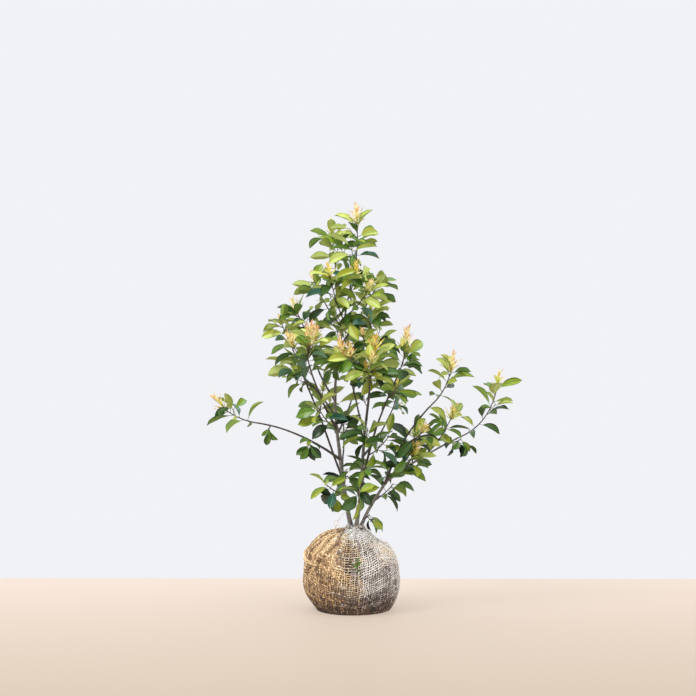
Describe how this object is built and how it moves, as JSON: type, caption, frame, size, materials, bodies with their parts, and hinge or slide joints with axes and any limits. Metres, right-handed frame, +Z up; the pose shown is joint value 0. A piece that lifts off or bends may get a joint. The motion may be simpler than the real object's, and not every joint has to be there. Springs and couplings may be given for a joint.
{
  "type": "multi-stemmed evergreen shrub with wrapped root ball",
  "caption": "Young leathery-leaved evergreen shrub with several stems, tufts of pale new growth at its shoot tips, and a jute-wrapped root ball that it stands on.",
  "frame": {"origin": "centre of the flat underside of the root ball", "axes": "+Z up along the plant's height, +X to the plant's right as its front is seen, -Y to its front"},
  "size_m": [1.0148, 0.5762, 1.3018],
  "materials": {
    "jute": "open woven jute over damp soil",
    "bark": "smooth grey-brown young bark",
    "foliage": "leathery leaf with a soft gloss"
  },
  "bodies": {
    "root": {"root_ball": "jute", "bough_back_low": "bark", "bough_back_mid": "bark", "bough_back_right": "bark", "bough_centre_left": "bark", "bough_front": "bark", "bough_left_high": "bark", "bough_left_long": "bark", "bough_left_mid": "bark", "bough_left_up": "bark", "bough_right_low": "bark", "bough_right_two": "bark", "bough_top_c": "bark", "bough_top_e": "bark", "stem_centre": "bark", "stem_main": "bark", "stem_right": "bark", "stem_thin_left": "bark", "stem_third": "bark", "leaves_back_high": "foliage", "leaves_back_left": "foliage", "leaves_back_low": "foliage", "leaves_back_mid": "foliage", "leaves_back_right": "foliage", "leaves_centre_front": "foliage", "leaves_centre_left": "foliage", "leaves_centre_spur": "foliage", "leaves_centre_top": "foliage", "leaves_foot": "foliage", "leaves_front": "foliage", "leaves_leader": "foliage", "leaves_leader_front": "foliage", "leaves_left_far": "foliage", "leaves_left_high": "foliage", "leaves_left_inner": "foliage", "leaves_left_mid": "foliage", "leaves_left_outer": "foliage", "leaves_left_up": "foliage", "leaves_low_back": "foliage", "leaves_low_front": "foliage", "leaves_low_left": "foliage", "leaves_low_right": "foliage", "leaves_mid_centre": "foliage", "leaves_mid_left": "foliage", "leaves_mid_right": "foliage", "leaves_right_back": "foliage", "leaves_right_far": "foliage", "leaves_right_golden": "foliage", "leaves_right_hang": "foliage", "leaves_right_inner": "foliage", "leaves_right_sub": "foliage", "leaves_right_two": "foliage", "leaves_thin_left": "foliage", "leaves_third_side": "foliage", "leaves_third_tip": "foliage", "leaves_top_a": "foliage", "leaves_top_b": "foliage", "leaves_top_c": "foliage", "leaves_top_d": "foliage", "leaves_top_e": "foliage"}
  },
  "joints": []
}
